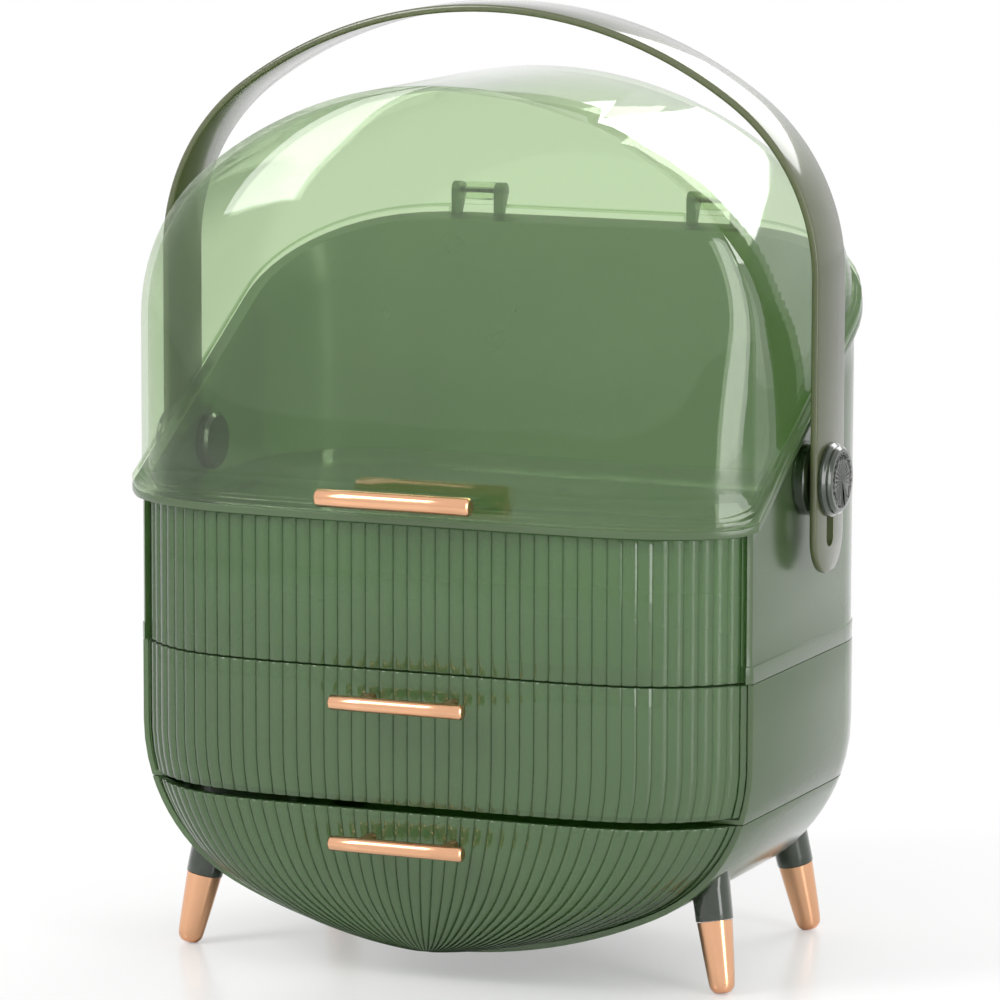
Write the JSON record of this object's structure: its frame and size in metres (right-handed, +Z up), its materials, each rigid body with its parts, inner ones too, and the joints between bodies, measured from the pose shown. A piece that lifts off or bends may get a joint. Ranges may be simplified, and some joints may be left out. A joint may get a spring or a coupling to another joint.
{
  "type": "portable makeup organizer",
  "caption": "Egg-shaped countertop makeup case with a clear hinged dome lid, a removable tray, reeded pull-out drawers, a swinging carry handle and splayed metal-tipped legs.",
  "frame": {"origin": "on the floor, in the case's plane of symmetry, midway between the grip bars' front and the lid hinges' rear, almost under the handle's pivot line", "axes": "+X to the case's right as seen from the front, -Y out of the reeded front, +Z up"},
  "size_m": [0.3348, 0.2451, 0.4365],
  "materials": {
    "shell": "satin moulded plastic, mid sage green, with a soft sheen",
    "reeded_plastic": "glossy see-through dark green plastic, moulded in fine upright reeds",
    "clear_plastic": "glossy see-through pale green plastic",
    "strap_plastic": "glossy smoky olive plastic with pale edges",
    "dark_plastic": "glossy near-black green plastic",
    "rose_gold": "bright rose-gold plating",
    "steel": "plain bright steel"
  },
  "bodies": {
    "case": {"upper_housing": "shell", "front_panel": "reeded_plastic", "middle_housing": "shell", "lower_housing": "shell", "top_tray": "clear_plastic", "pivot_boss_left": "dark_plastic", "pivot_boss_right": "dark_plastic", "pivot_cover_left": "dark_plastic", "pivot_cover_right": "dark_plastic", "hinge_pin_left": "steel", "hinge_pin_right": "steel", "leg_front_left": "dark_plastic", "leg_front_right": "dark_plastic", "leg_rear_left": "dark_plastic", "leg_rear_right": "dark_plastic", "foot_front_left": "rose_gold", "foot_front_right": "rose_gold", "foot_rear_left": "rose_gold", "foot_rear_right": "rose_gold"},
    "lid": {"lid": "clear_plastic", "lid_bar": "rose_gold"},
    "handle_pivots": {"pivot_pin_left": "steel", "pivot_pin_right": "steel", "pivot_cap_left": "dark_plastic", "pivot_cap_right": "dark_plastic"},
    "handle": {"handle_strap": "strap_plastic"},
    "upper_drawer": {"upper_drawer": "reeded_plastic", "upper_drawer_bar": "rose_gold", "upper_drawer_screw_left": "steel", "upper_drawer_screw_right": "steel"},
    "lower_drawer": {"lower_drawer": "reeded_plastic", "lower_drawer_bar": "rose_gold", "lower_drawer_screw_left": "steel", "lower_drawer_screw_right": "steel"}
  },
  "joints": [
    {"name": "lid_hinge", "type": "hinge", "parent": "case", "child": "lid", "pos_m": [0, 0.1186, 0.33725], "axis": [-1, 0, 0], "range_deg": [0, 65]},
    {"name": "handle_swing", "type": "hinge", "parent": "case", "child": "handle_pivots", "pos_m": [0, 0, 0.2275], "axis": [-1, 0, 0], "range_deg": [0, 130]},
    {"name": "handle_lift", "type": "slide", "parent": "handle_pivots", "child": "handle", "axis": [0, 0, 1], "range_m": [0, 0.025]},
    {"name": "upper_drawer_slide", "type": "slide", "parent": "case", "child": "upper_drawer", "axis": [0, -1, 0], "range_m": [0, 0.14]},
    {"name": "lower_drawer_slide", "type": "slide", "parent": "case", "child": "lower_drawer", "axis": [0, -1, 0], "range_m": [0, 0.14]}
  ],
  "couplings": [
    {"joint": "handle_swing", "follows": "lid_hinge", "ratio": 2}
  ]
}
